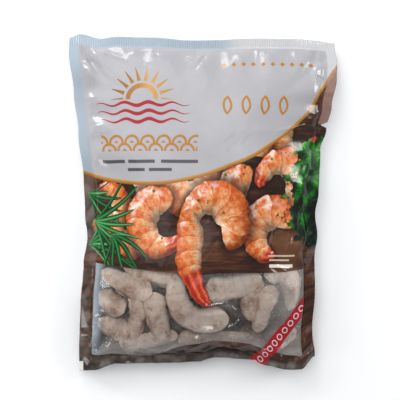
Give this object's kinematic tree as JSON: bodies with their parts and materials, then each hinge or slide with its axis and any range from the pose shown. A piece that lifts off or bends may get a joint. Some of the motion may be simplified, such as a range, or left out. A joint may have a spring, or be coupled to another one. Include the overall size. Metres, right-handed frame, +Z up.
{
  "type": "bag of frozen raw prawns",
  "caption": "Sealed, pillow-shaped film bag of frozen raw headless prawns, lying on its back, with a printed front and a clear window low down that shows the prawns.",
  "frame": {"origin": "centre of the bag's footprint, on the surface it lies on", "axes": "+Z up out of the printed front, +Y along the bag towards its top seal, +X to the right across the front as it is read"},
  "size_m": [0.25, 0.3135, 0.0454],
  "materials": {
    "printed_film": "glossy printed film: pale grey above a gold line, a warm brown and orange picture field below, blue-grey seals",
    "glazed_prawn": "grey-brown raw prawn shell with darker bands under a thin frosted ice glaze",
    "clear_film": "clear glossy film with soft creases, over the window"
  },
  "bodies": {
    "root": {"pouch": "printed_film", "prawns_in_window": "glazed_prawn"}
  },
  "joints": []
}
